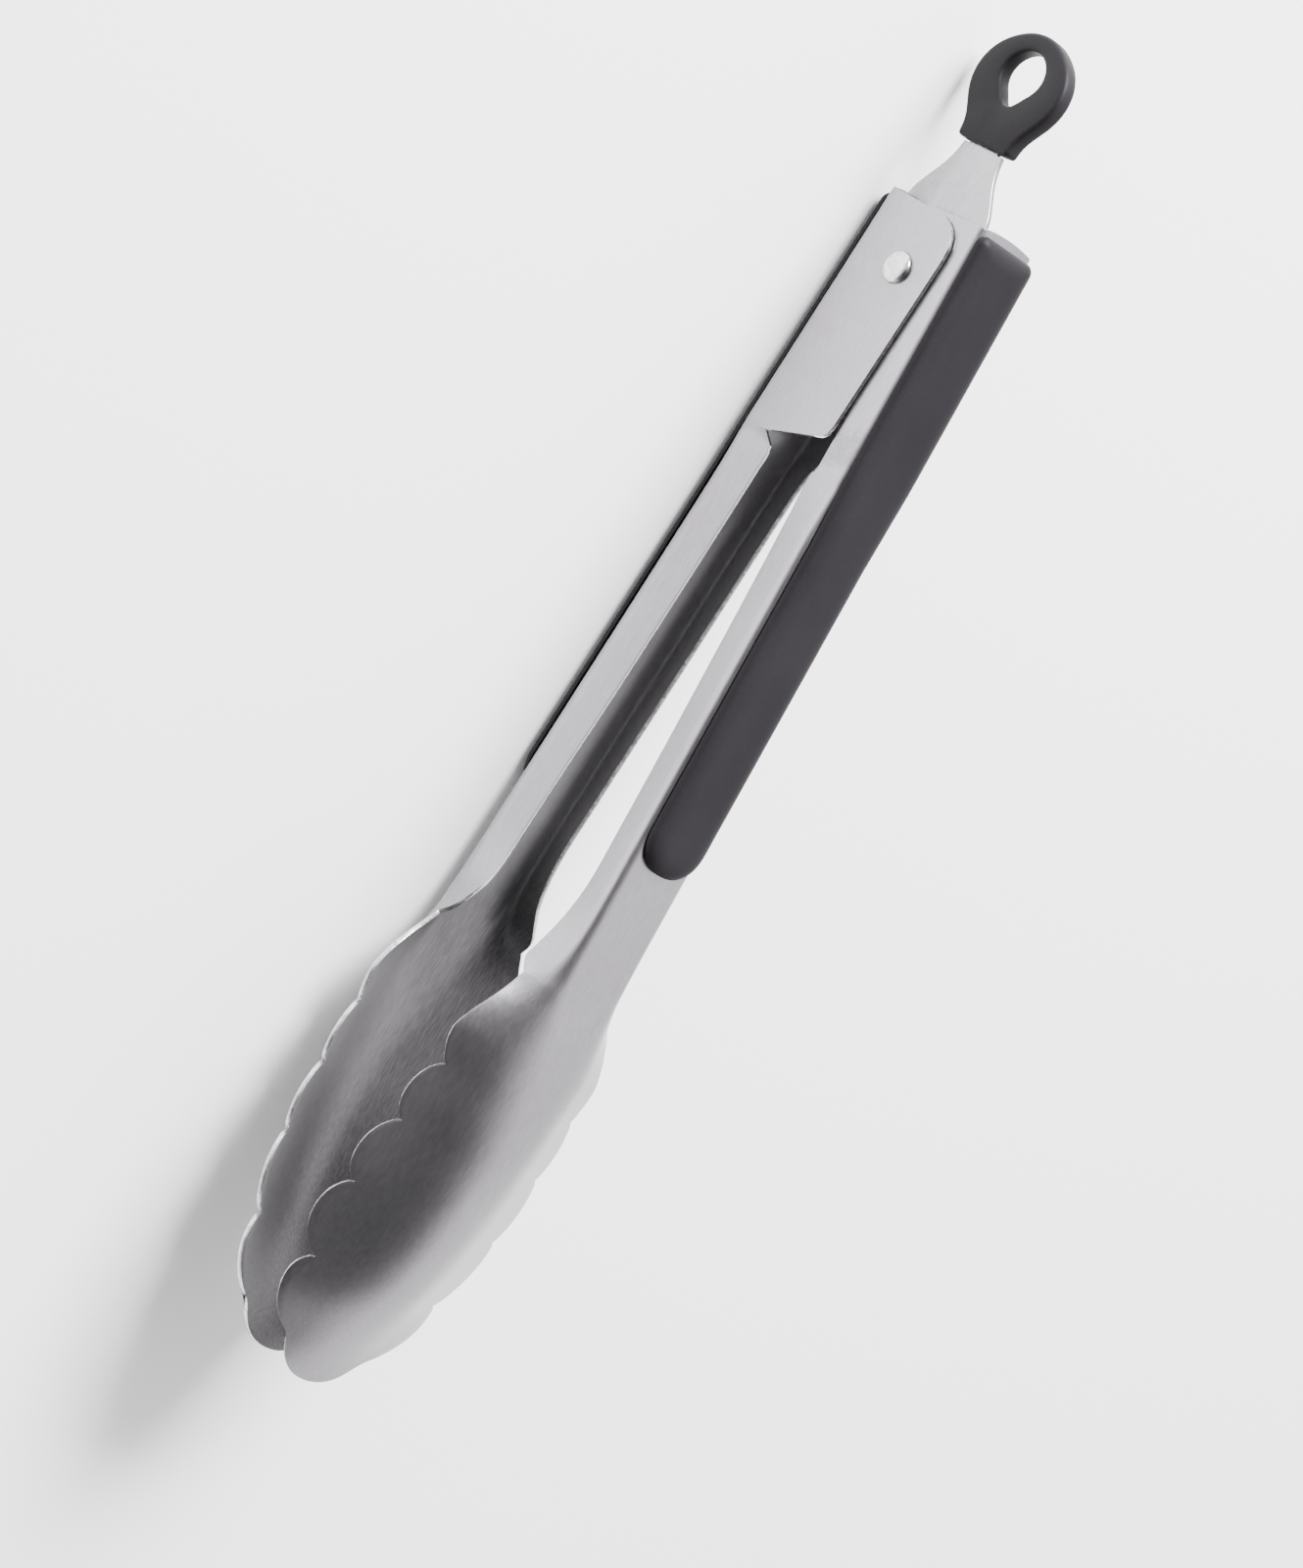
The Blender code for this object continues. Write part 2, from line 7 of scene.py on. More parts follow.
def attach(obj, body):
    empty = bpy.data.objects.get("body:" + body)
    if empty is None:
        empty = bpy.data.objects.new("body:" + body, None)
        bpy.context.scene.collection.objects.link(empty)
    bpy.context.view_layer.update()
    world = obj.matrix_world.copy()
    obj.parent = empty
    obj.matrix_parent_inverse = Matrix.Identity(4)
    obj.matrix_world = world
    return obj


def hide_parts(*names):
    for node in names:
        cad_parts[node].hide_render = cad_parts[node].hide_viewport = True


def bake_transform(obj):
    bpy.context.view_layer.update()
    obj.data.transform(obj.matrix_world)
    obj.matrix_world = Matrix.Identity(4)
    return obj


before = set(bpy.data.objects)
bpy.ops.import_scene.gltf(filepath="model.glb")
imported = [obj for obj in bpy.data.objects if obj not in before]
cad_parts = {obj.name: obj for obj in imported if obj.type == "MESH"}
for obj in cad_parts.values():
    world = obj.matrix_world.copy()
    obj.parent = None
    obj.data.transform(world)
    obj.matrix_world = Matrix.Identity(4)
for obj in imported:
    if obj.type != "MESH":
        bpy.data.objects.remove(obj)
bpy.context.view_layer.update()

MM = 0.001

# Layout, in millimetres: x from the pin towards a head, v along the pin, u inwards from an arm's back
HALF_BOX = 14.7
PIN = Vector((-101.23, 0.0, 17.5))
ARM_ANGLE = 4.79
SHEET = 0.9
PAD_T, PAD_GAP = 2.6, 0.2
OUTER_PAD, INNER_PAD = 9.4, 8.9
PAD_SETBACK, PAD_END = 1.1, 132.0        # from the hinge end of a back, and the nose

# Half width along each arm
OUTER_HALF, INNER_HALF = ((0.0, 10.0), (1.0, 10.0)), ((46.0, 8.8), (56.0, 9.6))
OUTER_END, INNER_END = -13.9, -14.6      # hinge ends of the two backs
CORNER_R = 2.2                           # bend between back and flange
NECK = 159.0                             # end of the flanges
TIP = 258.6                              # pin to the tip of the head

# Free edge of each flange, hinge end to neck: x, height, how far it leans in from the channel's side
OUTER_EDGE = ((-13.9, 17.6, 0.0), (-13.4, 19.6, 0.0), (-12.4, 21.4, 0.0), (-10.8, 22.9, 0.0),
              (-8.6, 23.9, 0.0), (-6.0, 24.2, 0.0), (34.6, 23.6, 0.0), (36.3, 23.2, 0.0),
              (37.4, 22.0, 0.0), (42.2, 7.5, 0.0), (44.6, 8.9, 2.3), (50.0, 8.8, 3.0),
              (100.0, 8.6, 3.2), (128.0, 8.2, 3.0), (140.0, 8.1, 2.9), (147.0, 8.4, 2.3),
              (152.0, 8.6, 1.0), (156.5, 8.6, -1.4), (159.2, 8.3, -3.0), (161.9, 6.2, -3.9))
INNER_EDGE = ((-14.6, 15.6, 0.0), (-14.1, 17.6, 0.0), (-12.6, 19.3, 0.0), (-10.4, 20.2, 0.0),
              (6.0, 20.2, 0.0), (9.0, 18.6, 0.0), (20.0, 8.6, 0.0), (22.0, 8.0, 0.0),
              (44.4, 8.0, 0.0), (45.2, 9.4, 0.5), (50.0, 10.2, 1.6), (56.0, 10.1, 2.3),
              (100.0, 9.2, 2.4), (128.0, 8.9, 2.4), (140.0, 8.9, 2.3), (147.0, 9.4, 1.6),
              (152.0, 9.6, 0.2), (156.5, 9.5, -1.8), (159.2, 9.2, -3.2), (161.9, 6.4, -4.2))

# Back of the arm and head: x, height, half width at the bend (None at the channel's side), bend length
BACK = ((44.0, 0.0, None, CORNER_R), (56.0, 0.0, None, 3.0), (152.0, 0.0, None, 3.0),
        (158.0, 0.0, None, 3.2), (162.5, 0.0, 9.6, 3.6), (168.0, -0.2, 9.2, 5.0),
        (176.0, -0.5, 8.4, 7.0), (186.0, -0.7, 7.4, 8.0), (200.0, -0.3, 6.4, 9.0),
        (216.0, 1.9, 5.8, 9.0), (233.0, 6.6, 5.2, 8.0), (248.0, 13.8, 4.6, 6.0), (TIP, 18.4, 4.0, 4.0))
# Bowl of the head out to a smooth line past the scallops: x, half width, height
BOWL = ((161.9, None, 6.3), (165.8, 16.2, 6.1), (169.0, 18.2, 6.2), (173.6, 20.9, 6.8),
        (178.2, 22.7, 7.45), (186.0, 23.4, 8.5), (193.5, 24.1, 9.4), (200.0, 24.9, 10.6),
        (208.0, 25.6, 11.9), (216.0, 26.0, 13.5), (223.0, 25.6, 14.9), (233.4, 23.9, 16.8),
        (241.0, 21.4, 17.3), (250.3, 17.5, 18.9), (TIP, 13.0, 19.0))
# Scalloped outline: end of the first lobe, the notches (x, half width), and how far each lobe bulges
FIRST_LOBE = ((178.2, 22.7), (180.8, 22.5), (183.6, 21.6), (185.0, 20.9), (185.9, 20.2))
NOTCHES = ((185.9, 20.2), (200.1, 21.3), (215.8, 22.0), (233.4, 18.5), (250.3, 11.8))
BULGES = (3.19, 3.79, 4.69, 5.29)


# ---------------------------------------------------------------- curves
def between(table, x):
    if x <= table[0][0]:
        return table[0][1]
    for (xa, a), (xb, b) in zip(table, table[1:]):
        if x <= xb:
            return a + (b - a) * (x - xa) / (xb - xa)
    return table[-1][1]


def smooth(rows, x):
    if x <= rows[0][0]:
        return rows[0][1]
    if x >= rows[-1][0]:
        return rows[-1][1]
    k = max(i for i in range(len(rows) - 1) if rows[i][0] <= x)
    slope = []
    for i in (k, k + 1):
        lo, hi = max(i - 1, 0), min(i + 1, len(rows) - 1)
        slope.append((rows[hi][1] - rows[lo][1]) / (rows[hi][0] - rows[lo][0]))
    h = rows[k + 1][0] - rows[k][0]
    t = (x - rows[k][0]) / h
    return ((2 * t ** 3 - 3 * t ** 2 + 1) * rows[k][1] + (t ** 3 - 2 * t ** 2 + t) * h * slope[0]
            + (3 * t ** 2 - 2 * t ** 3) * rows[k + 1][1] + (t ** 3 - t ** 2) * h * slope[1])


# ---------------------------------------------------------------- arms
COUNTS = (5, 14, 14)


def outline(x):
    """Scalloped rim past the first lobe's widest part: straight line between notches, and bulge."""
    if x <= NOTCHES[0][0]:
        return smooth(FIRST_LOBE, x), 0.0
    for (xa, a), (xb, b), bulge in zip(NOTCHES, NOTCHES[1:], BULGES):
        if x <= xb:
            t = (x - xa) / (xb - xa)
            return a + (b - a) * t, bulge * (1.0 - (2.0 * t - 1.0) ** 2) ** 0.66
    return NOTCHES[-1][1], 0.0


def rim_lag(x0):
    """How far the rim of a head section lies behind its middle: the last section is the tip lobe."""
    return (TIP - NOTCHES[-1][0]) * max(0.0, (x0 - 200.0) / (TIP - 200.0)) ** 2


def station_for_rim(xe):
    """Station whose rim reaches xe."""
    x0 = xe
    for _ in range(40):
        x0 = xe + rim_lag(x0)
    return x0


def bend_points(x, half, edge):
    """Middle of the back, start, corner and end of the bend, and the rim of the section at x."""
    width = between(half, x)
    back = smooth([(r[0], r[1]) for r in BACK], x)
    corner_v = smooth([(r[0], r[2] or width) for r in BACK], x)
    length = smooth([(r[0], r[3]) for r in BACK], x)
    if x <= edge[-1][0]:
        curve = smooth if x > 46.0 else between
        rim = Vector((width - curve([(r[0], r[2]) for r in edge], x), curve([(r[0], r[1]) for r in edge], x)))
    else:
        neck = width - edge[-1][2]
        wide = smooth([(r[0], r[1] or neck) for r in BOWL], x)
        rim = Vector((wide, smooth([(r[0], r[2]) for r in BOWL], x)))
    mid, corner = Vector((0.0, back)), Vector((corner_v, back))
    start = corner + (mid - corner).normalized() * min(length, 0.96 * (mid - corner).length)
    stop = corner + (rim - corner).normalized() * min(length, 0.9 * (rim - corner).length)
    return mid, start, corner, stop, rim


def bowl_height(x, v, half, edge):
    """Height of the bowl's outside at half width v."""
    mid, start, corner, stop, rim = bend_points(x, half, edge)
    if v <= start.x:
        return mid.y
    if v >= stop.x:
        return stop.y + (rim.y - stop.y) * (v - stop.x) / (rim.x - stop.x)
    a = start.x - 2.0 * corner.x + stop.x
    b = 2.0 * (corner.x - start.x)
    c = start.x - v
    t = -c / b if abs(a) < 1e-9 else (-b + math.sqrt(b * b - 4.0 * a * c)) / (2.0 * a)
    return start.y * (1 - t) ** 2 + corner.y * 2 * t * (1 - t) + stop.y * t ** 2


def bowl_normal(p, half, edge):
    """Direction from the bowl's outside towards its inside."""
    step = 0.2
    x1 = min(p.x + step, TIP)
    x0, v = x1 - 2.0 * step, abs(p.y)
    along = (bowl_height(x1, v, half, edge) - bowl_height(x0, v, half, edge)) / (2.0 * step)
    across = (bowl_height(p.x, v + step, half, edge) - bowl_height(p.x, max(0.0, v - step), half, edge))
    across /= v + step - max(0.0, v - step)
    if v < 1e-6:
        across = 0.0
    return Vector((-along, -across if p.y >= 0.0 else across, 1.0)).normalized()


def section(x0, half, edge, end, counts):
    """Outside of an arm across one station, edge to edge, as (x, v, u) points."""
    web_n, bend_n, side_n = counts
    mid, start, corner, stop, rim = bend_points(x0, half, edge)
    pts = [mid.lerp(start, i / web_n) for i in range(web_n)]
    for i in range(bend_n + 1):
        t = i / bend_n
        pts.append(start * (1 - t) ** 2 + corner * 2 * t * (1 - t) + stop * t ** 2)
    pts += [stop.lerp(rim, i / side_n) for i in range(1, side_n + 1)]
    out = []
    if x0 <= FIRST_LOBE[0][0]:
        for p in pts:
            arch = 0.8 * max(0.0, 1.0 - (p.x / corner.x) ** 2) * max(0.0, 1.0 - (x0 - end) / 6.0)
            out.append(Vector((x0 - arch, p.x, p.y)))
    else:
        lag = rim_lag(x0)
        chord, bulge = outline(x0 - lag)
        tip = lag / rim_lag(TIP)
        for p in pts:
            a = p.x / rim.x
            x = x0 - lag * (0.55 * a ** 2 + 0.45 * a ** 4)
            v = chord * a + bulge * a ** (6.0 + 10.0 * tip)
            out.append(Vector((x, v, bowl_height(x, v, half, edge))))
    return [Vector((p.x, -p.y, p.z)) for p in reversed(out[1:])] + out


def stations_for(edge):
    """Stations at every corner of the flange edge and close together round the head."""
    marks = [row[0] for row in edge]
    xs = set(marks)
    for a, b in zip(marks, marks[1:]):
        n = max(1, int((b - a) / (4.0 if b - a > 20 else 0.7)))
        xs.update(a + (b - a) * i / n for i in range(1, n))
    xs.update(161.9 + (178.2 - 161.9) * i / 24 for i in range(25))
    xs.update(178.2 + (185.9 - 178.2) * math.sin(math.pi / 2 * i / 18) for i in range(19))
    for (xa, _), (xb, _) in zip(NOTCHES, NOTCHES[1:]):
        for i in range(27):
            t = i / 26 - 0.1 * math.sin(2 * math.pi * i / 26)
            xs.add(round(station_for_rim(xa + (xb - xa) * t), 5))
    return sorted(xs)


def sheet_mesh(name, grid, thickness, half, edge):
    """Closed sheet between the grid and the same grid one thickness in: outside 0, cut edges 1, inside 2."""
    rows, cols = len(grid), len(grid[0])
    inner = []
    for i in range(rows):
        line = []
        for j in range(cols):
            p = grid[i][j]
            if p.x < NECK:
                along = Vector((1.0, 0.0, 0.0))
            elif 0 < i < rows - 1:
                along = (grid[i + 1][j] - p).normalized() + (p - grid[i - 1][j]).normalized()
            else:
                along = grid[min(i + 1, rows - 1)][j] - grid[max(i - 1, 0)][j]
            if j in (0, cols - 1):
                near = 1 if j == 0 else cols - 2
                across = (grid[i][near] - p) * (1 if j == 0 else -1)
            else:
                across = (grid[i][j + 1] - p).normalized() + (p - grid[i][j - 1]).normalized()
            normal = along.cross(across).normalized()
            if grid[i][cols // 2].x > FIRST_LOBE[0][0]:
                normal = bowl_normal(p, half, edge)
            line.append(p + normal * thickness)
        inner.append(line)
    verts = [p * MM for row in grid for p in row] + [p * MM for row in inner for p in row]
    base = rows * cols
    faces, cut_edges = [], []
    for i in range(rows - 1):
        for j in range(cols - 1):
            a, b, c, d = i * cols + j, (i + 1) * cols + j, (i + 1) * cols + j + 1, i * cols + j + 1
            faces += [(a, b, c, d), (base + a, base + d, base + c, base + b)]
        for j in (0, cols - 1):
            a, b = i * cols + j, (i + 1) * cols + j
            cut_edges.append((a, base + a, base + b, b))
    for j in range(cols - 1):
        for i in (0, rows - 1):
            a, b = i * cols + j, i * cols + j + 1
            cut_edges.append((a, b, base + b, base + a))
    mesh = bpy.data.meshes.new(name)
    mesh.from_pydata(verts, [], faces + cut_edges)
    for k, poly in enumerate(mesh.polygons):
        poly.material_index = 1 if k >= len(faces) else 2 * (k % 2)
    return mesh


def finish_mesh(name, mesh, mats, body, node, bevel=0.0, angle=35.0, segments=2):
    """Face the mesh outwards, soften its edges, and put it on its body."""
    bm = bmesh.new()
    bm.from_mesh(mesh)
    bmesh.ops.recalc_face_normals(bm, faces=bm.faces)
    bm.to_mesh(mesh)
    bm.free()
    obj = bpy.data.objects.new(name, mesh)
    bpy.context.scene.collection.objects.link(obj)
    if not mesh.materials:
        for mat in mats:
            mesh.materials.append(mat)
    if bevel:
        mod = obj.modifiers.new("Edge", "BEVEL")
        mod.width, mod.segments, mod.limit_method = bevel * MM, segments, "ANGLE"
        mod.angle_limit = math.radians(50.0)
        mod.harden_normals = False
        graph = bpy.context.evaluated_depsgraph_get()
        done = bpy.data.meshes.new_from_object(obj.evaluated_get(graph))
        obj.modifiers.clear()
        obj.data = done
    obj.data.shade_smooth()
    obj.data.set_sharp_from_angle(angle=math.radians(angle))
    if body:
        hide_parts(node)
        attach(obj, body)
    return obj


def cut(mesh_obj, cutter):
    mod = mesh_obj.modifiers.new("Cut", "BOOLEAN")
    mod.operation, mod.solver, mod.object = "DIFFERENCE", "EXACT", cutter
    graph = bpy.context.evaluated_depsgraph_get()
    done = bpy.data.meshes.new_from_object(mesh_obj.evaluated_get(graph))
    mesh_obj.modifiers.clear()
    mesh_obj.data = done
    bpy.data.objects.remove(cutter, do_unlink=True)


def turn(mesh, angle, flip=False):
    """Arm frame (or pin frame, with u from the pin) to the row frame."""
    a = math.radians(angle)
    c, s = math.cos(a), math.sin(a)
    for vert in mesh.vertices:
        x, v, z = vert.co / MM
        if flip is not None:
            z = HALF_BOX - z if flip else z - HALF_BOX
        vert.co = (Vector((x * c - z * s, v, x * s + z * c)) + PIN) * MM
    if flip:
        mesh.flip_normals()


def cylinder(radius, v0, v1, n=96):
    verts = [Vector((radius * math.cos(2 * math.pi * k / n), v, radius * math.sin(2 * math.pi * k / n))) * MM
             for v in (v0, v1) for k in range(n)]
    faces = [(k, (k + 1) % n, n + (k + 1) % n, n + k) for k in range(n)]
    faces += [tuple(reversed(range(n))), tuple(range(n, 2 * n))]
    mesh = bpy.data.meshes.new("cutter")
    mesh.from_pydata(verts, [], faces)
    bm = bmesh.new()
    bm.from_mesh(mesh)
    bmesh.ops.recalc_face_normals(bm, faces=bm.faces)
    bm.to_mesh(mesh)
    bm.free()
    obj = bpy.data.objects.new("cutter", mesh)
    bpy.context.scene.collection.objects.link(obj)
    return obj


# ---------------------------------------------------------------- materials
def new_material(name):
    mat = bpy.data.materials.new(name)
    mat.use_nodes = True
    nodes, links = mat.node_tree.nodes, mat.node_tree.links
    return mat, nodes, links, nodes["Principled BSDF"]


def noise(nodes, links, scale, mapping_scale=(1, 1, 1), detail=3.0, rotation=(0, 0, 0)):
    coord = nodes.new("ShaderNodeTexCoord")
    mapping = nodes.new("ShaderNodeMapping")
    mapping.inputs["Scale"].default_value = mapping_scale
    mapping.inputs["Rotation"].default_value = rotation
    tex = nodes.new("ShaderNodeTexNoise")
    tex.inputs["Scale"].default_value = scale
    tex.inputs["Detail"].default_value = detail
    links.new(coord.outputs["Object"], mapping.inputs["Vector"])
    links.new(mapping.outputs["Vector"], tex.inputs["Vector"])
    return tex.outputs["Fac"]


def ramp(nodes, links, source, low, high, a, b):
    """Map source from low..high to a..b."""
    node = nodes.new("ShaderNodeMapRange")
    node.inputs["From Min"].default_value = low
    node.inputs["From Max"].default_value = high
    node.inputs["To Min"].default_value = a
    node.inputs["To Max"].default_value = b
    links.new(source, node.inputs["Value"])
    return node.outputs["Result"]


def colour_mix(nodes, links, fac, dark, light):
    mix = nodes.new("ShaderNodeMix")
    mix.data_type = "RGBA"
    mix.inputs["A"].default_value = (*dark, 1.0)
    mix.inputs["B"].default_value = (*light, 1.0)
    links.new(fac, mix.inputs["Factor"])
    return mix.outputs["Result"]


def math_node(nodes, links, op, a, b):
    node = nodes.new("ShaderNodeMath")
    node.operation = op
    for k, value in enumerate((a, b)):
        if isinstance(value, (int, float)):
            node.inputs[k].default_value = value
        else:
            links.new(value, node.inputs[k])
    return node.outputs["Value"]


def bump(nodes, links, bsdf, height, strength, distance):
    node = nodes.new("ShaderNodeBump")
    node.inputs["Strength"].default_value = strength
    node.inputs["Distance"].default_value = distance
    links.new(height, node.inputs["Height"])
    links.new(node.outputs["Normal"], bsdf.inputs["Normal"])


def brushed_steel(name, dark, light, rough, angle=0.0, rub=False, metal=1.0, channel=None):
    """Satin sheet: fine grain along the arm, cloudy polish, optional rub marks and channel tone; with a
    channel tone the dark and light colours show only past the neck, where for the inside steel they are
    painted shade.
    """
    mat, nodes, links, bsdf = new_material(name)
    bsdf.inputs["Metallic"].default_value = metal
    turn_y = (0.0, math.radians(angle), 0.0)
    grain = noise(nodes, links, 1.0, (320.0, 3000.0, 3000.0), 3.0, turn_y)
    cloud = noise(nodes, links, 28.0, (0.6, 1.0, 1.0), 3.0)
    fac = math_node(nodes, links, "ADD", math_node(nodes, links, "MULTIPLY", grain, 0.4),
                    math_node(nodes, links, "MULTIPLY", cloud, 0.6))
    tone = ramp(nodes, links, fac, 0.34, 0.66, 0.0, 1.0)
    roughness = ramp(nodes, links, fac, 0.3, 0.7, rough - 0.03, rough + 0.04)
    if rub:
        coord = nodes.new("ShaderNodeTexCoord")
        split = nodes.new("ShaderNodeSeparateXYZ")
        links.new(coord.outputs["Object"], split.inputs["Vector"])
        dx = math_node(nodes, links, "SUBTRACT", split.outputs["X"], PIN.x * MM)
        dz = math_node(nodes, links, "SUBTRACT", split.outputs["Z"], PIN.z * MM)
        radius = math_node(nodes, links, "POWER", math_node(
            nodes, links, "ADD", math_node(nodes, links, "MULTIPLY", dx, dx),
            math_node(nodes, links, "MULTIPLY", dz, dz)), 0.5)
        rise = ramp(nodes, links, radius, 0.0345, 0.0375, 0.0, 1.0)
        fall = ramp(nodes, links, radius, 0.0415, 0.0440, 1.0, 0.0)
        streak = ramp(nodes, links, noise(nodes, links, 900.0, (1.0, 1.0, 1.0), 2.0), 0.42, 0.62, 0.2, 1.0)
        mask = math_node(nodes, links, "MULTIPLY", math_node(nodes, links, "MULTIPLY", rise, fall), streak)
        tone = math_node(nodes, links, "SUBTRACT", tone, math_node(nodes, links, "MULTIPLY", mask, 1.6))
        roughness = math_node(nodes, links, "ADD", roughness, math_node(nodes, links, "MULTIPLY", mask, 0.12))
    colour = colour_mix(nodes, links, tone, dark, light)
    # Channel tone along the arm, fading between X 34 and 56 mm to the dark and light colours on the head; on
    # the inside steel that head colour is painted shade.
    if channel:
        coord = nodes.new("ShaderNodeTexCoord")
        split = nodes.new("ShaderNodeSeparateXYZ")
        links.new(coord.outputs["Object"], split.inputs["Vector"])
        mix = nodes.new("ShaderNodeMix")
        mix.data_type = "RGBA"
        links.new(ramp(nodes, links, split.outputs["X"], 0.034, 0.056, 0.0, 1.0), mix.inputs[0])
        links.new(colour_mix(nodes, links, tone, *channel), mix.inputs[6])
        links.new(colour, mix.inputs[7])
        colour = mix.outputs[2]
    links.new(colour, bsdf.inputs["Base Color"])
    links.new(roughness, bsdf.inputs["Roughness"])
    bump(nodes, links, bsdf, grain, 0.05, 0.00004)
    return mat


def polished_steel(name, dark, light, rough):
    mat, nodes, links, bsdf = new_material(name)
    bsdf.inputs["Metallic"].default_value = 1.0
    fine = noise(nodes, links, 900.0, (1.0, 1.0, 1.0), 3.0)
    links.new(colour_mix(nodes, links, ramp(nodes, links, fine, 0.35, 0.65, 0.0, 1.0), dark, light),
              bsdf.inputs["Base Color"])
    links.new(ramp(nodes, links, fine, 0.3, 0.7, rough - 0.03, rough + 0.05), bsdf.inputs["Roughness"])
    bump(nodes, links, bsdf, fine, 0.05, 0.00003)
    return mat


def rubber(name, dark, light, rough):
    """Soft-touch rubber: even matt skin with a very fine orange peel and faint handling marks."""
    mat, nodes, links, bsdf = new_material(name)
    bsdf.inputs["Specular IOR Level"].default_value = 0.10
    skin = noise(nodes, links, 2600.0, (1.0, 1.0, 1.0), 3.0)
    cloud = noise(nodes, links, 45.0, (0.7, 1.0, 1.0), 4.0)
    fac = math_node(nodes, links, "ADD", math_node(nodes, links, "MULTIPLY", skin, 0.4),
                    math_node(nodes, links, "MULTIPLY", cloud, 0.6))
    links.new(colour_mix(nodes, links, ramp(nodes, links, fac, 0.36, 0.64, 0.0, 1.0), dark, light),
              bsdf.inputs["Base Color"])
    links.new(ramp(nodes, links, fac, 0.3, 0.7, rough - 0.05, rough + 0.07), bsdf.inputs["Roughness"])
    bump(nodes, links, bsdf, skin, 0.16, 0.00006)
    return mat


SHEET_STEEL = ((0.255, 0.242, 0.257), (0.365, 0.348, 0.367))
STEEL_A = brushed_steel("outer_arm_steel", *SHEET_STEEL, 0.30)
# Inside of the sheet: the steel's own tone in the channel, and painted shade inside the heads (dark colours,
# less metallic).
PAINTED_SHADE_INSIDE_STEEL = brushed_steel("inside_steel_painted_shade", (0.055, 0.052, 0.056), (0.17, 0.162, 0.171), 0.36, metal=0.6,
                             channel=((0.27, 0.262, 0.272), (0.36, 0.349, 0.362)))
STEEL_B = brushed_steel("inner_arm_steel", *SHEET_STEEL, 0.30, ARM_ANGLE, True)
# Cut edges: polished sheared steel, lighter than the sheet, partly its own polish and partly a painted
# highlight for the bright rim lines.
EDGE_STEEL_AND_HIGHLIGHT = polished_steel("sheared_edge_steel_and_highlight", (0.50, 0.495, 0.50), (0.74, 0.735, 0.74), 0.24)
TAB_STEEL = brushed_steel("tab_steel", (0.255, 0.242, 0.257), (0.375, 0.358, 0.377), 0.27)
RIVET_STEEL = polished_steel("rivet_steel", (0.50, 0.50, 0.51), (0.66, 0.66, 0.67), 0.16)
SLEEVE_STEEL = polished_steel("sleeve_steel", (0.32, 0.32, 0.33), (0.44, 0.44, 0.45), 0.32)
SPRING_STEEL = polished_steel("spring_steel", (0.24, 0.24, 0.25), (0.38, 0.38, 0.39), 0.28)
GRIP_RUBBER = rubber("grip_rubber", (0.0070, 0.0060, 0.0077), (0.0112, 0.0098, 0.0123), 0.54)
LOOP_RUBBER = rubber("loop_rubber", (0.0078, 0.0069, 0.0085), (0.0122, 0.0110, 0.0133), 0.50)


# ---------------------------------------------------------------- pieces
def build_arm(name, half, edge, end, mats, angle, flip, body):
    grid = [section(x, half, edge, end, COUNTS) for x in stations_for(edge)]
    mesh = sheet_mesh(name, grid, SHEET, half, edge)
    holder = bpy.data.objects.new(name + "_raw", mesh)
    bpy.context.scene.collection.objects.link(holder)
    bm = bmesh.new()
    bm.from_mesh(mesh)
    bmesh.ops.recalc_face_normals(bm, faces=bm.faces)
    bm.to_mesh(mesh)
    bm.free()
    for mat in mats:
        mesh.materials.append(mat)
    drill = cylinder(2.46, -12.0, 12.0)
    for vert in drill.data.vertices:
        vert.co.z += HALF_BOX * MM
    cut(holder, drill)
    mesh = holder.data
    bpy.data.objects.remove(holder, do_unlink=True)
    turn(mesh, angle, flip)
    return finish_mesh(name + "_shell", mesh, mats, body, name, bevel=0.16)


build_arm("outer_arm", OUTER_HALF, OUTER_EDGE, OUTER_END, [STEEL_A, EDGE_STEEL_AND_HIGHLIGHT, PAINTED_SHADE_INSIDE_STEEL], 0.0, False,
          "outer_arm")
build_arm("inner_arm", INNER_HALF, INNER_EDGE, INNER_END, [STEEL_B, EDGE_STEEL_AND_HIGHLIGHT, PAINTED_SHADE_INSIDE_STEEL],
          ARM_ANGLE, True, "inner_arm")


